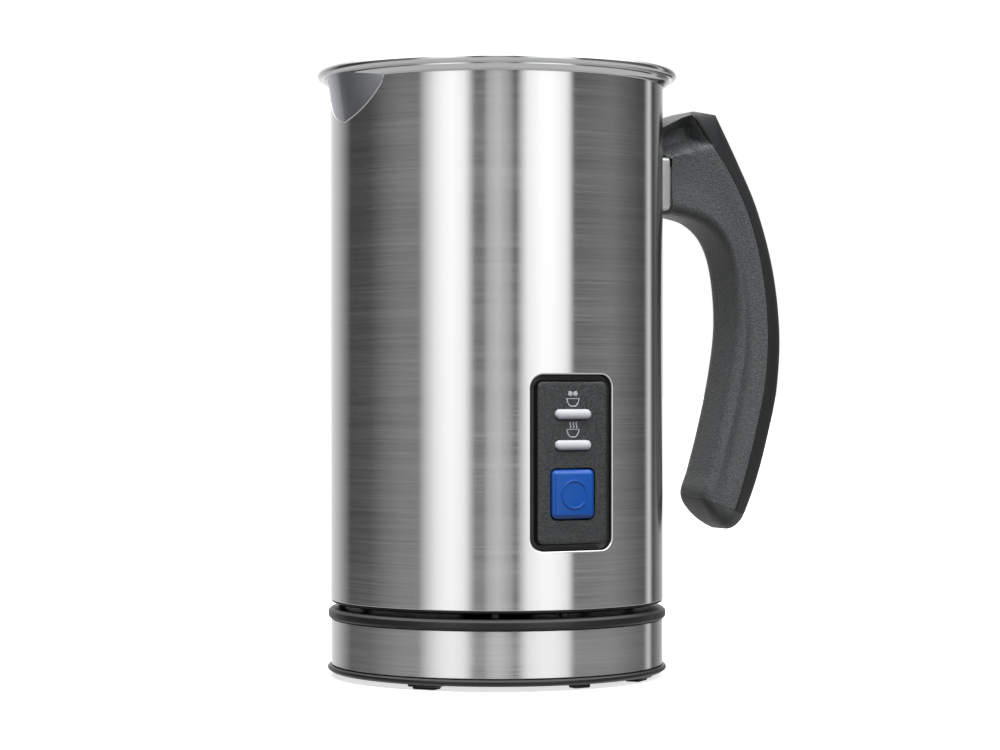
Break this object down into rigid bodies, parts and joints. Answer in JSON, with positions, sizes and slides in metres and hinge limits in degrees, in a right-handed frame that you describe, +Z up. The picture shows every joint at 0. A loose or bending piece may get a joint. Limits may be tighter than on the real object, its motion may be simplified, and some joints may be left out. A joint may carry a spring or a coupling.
{
  "type": "milk frother",
  "caption": "Cordless steel milk frother jug with a pouring lip, side handle, push-button panel, clear lid and coil whisk, standing on a round power base.",
  "frame": {"origin": "centre of the base's underside, on the jug's axis, 1 mm below the flat boss and level with the soles of the feet", "axes": "+Z up along the jug's axis, -Y towards the control panel, +X towards the handle, -X towards the pouring lip"},
  "size_m": [0.1623, 0.1164, 0.1957],
  "materials": {
    "brushed_steel": "fine horizontal brushing",
    "polished_steel": "polished stainless steel",
    "zinc_steel": "plated steel of hidden parts",
    "black_plastic": "finely textured black moulding",
    "blue_plastic": "satin blue button",
    "rubber": "matt black rubber",
    "silicone": "soft grey silicone",
    "brass": "plain contact metal",
    "aluminium": "pressed plate",
    "magnet": "sintered ferrite",
    "light_lens": "frosted translucent lens",
    "clear_plastic": "clear lid",
    "circuit_board": "green lacquered board"
  },
  "bodies": {
    "base": {"base_bottom_cover": "black_plastic", "base_band": "brushed_steel", "base_top_cover": "black_plastic", "base_connector": "black_plastic", "contact_ring": "brass", "contact_pin": "brass", "base_foot_1": "rubber", "base_foot_2": "rubber", "base_foot_3": "rubber", "base_foot_4": "rubber", "base_screw_1": "zinc_steel", "base_screw_2": "zinc_steel", "base_screw_3": "zinc_steel", "cord_inlet_bush": "rubber"},
    "socket": {"socket_housing": "black_plastic", "socket_sleeve": "brass"},
    "jug": {"outer_shell": "brushed_steel", "inner_pot": "polished_steel", "rim": "polished_steel", "pouring_lip": "polished_steel", "jug_bottom_cover": "black_plastic", "chassis": "black_plastic", "cover_screw_1": "zinc_steel", "cover_screw_2": "zinc_steel", "cover_screw_3": "zinc_steel", "heater_plate": "aluminium", "heating_element": "zinc_steel", "thermostat": "zinc_steel", "thermal_fuse": "silicone", "temperature_sensor": "zinc_steel", "motor_bracket": "zinc_steel", "motor_can": "zinc_steel", "motor_end_cap": "black_plastic", "motor_magnet_1": "magnet", "motor_magnet_2": "magnet", "lower_bearing": "brass", "upper_bearing": "brass", "shaft_seal": "silicone", "control_panel": "black_plastic", "light_lens_1": "light_lens", "light_lens_2": "light_lens", "light_1": "light_lens", "light_2": "light_lens", "control_board": "circuit_board", "tact_switch": "zinc_steel", "handle_grip": "black_plastic", "handle_cover": "black_plastic", "handle_bracket": "brushed_steel", "handle_screw": "zinc_steel"},
    "rotor": {"motor_armature": "zinc_steel", "commutator": "brass", "drive_shaft": "polished_steel"},
    "whisk": {"whisk_hub": "black_plastic", "whisk_frame": "polished_steel", "whisk_coil": "polished_steel"},
    "button": {"button_cap": "blue_plastic", "switch_plunger": "black_plastic"},
    "lid": {"lid_panel": "clear_plastic", "lid_seal": "silicone", "lid_knob": "black_plastic"}
  },
  "joints": [
    {"name": "jug_lift", "type": "slide", "parent": "base", "child": "socket", "axis": [0, 0, 1], "range_m": [0, 0.04]},
    {"name": "jug_turn", "type": "hinge", "parent": "socket", "child": "jug", "pos_m": [0, 0, 0.03], "axis": [0, 0, 1], "continuous": true},
    {"name": "shaft_spin", "type": "hinge", "parent": "jug", "child": "rotor", "pos_m": [0, 0, 0.07], "axis": [0, 0, 1], "continuous": true},
    {"name": "whisk_lift", "type": "slide", "parent": "rotor", "child": "whisk", "axis": [0, 0, 1], "range_m": [0, 0.025]},
    {"name": "lid_lift", "type": "slide", "parent": "jug", "child": "lid", "axis": [0, 0, 1], "range_m": [0, 0.06]},
    {"name": "button_press", "type": "slide", "parent": "jug", "child": "button", "axis": [0, 1, 0], "range_m": [0, 0.0008], "stiffness_N_per_m": 1500, "springref_m": -0.0004}
  ]
}
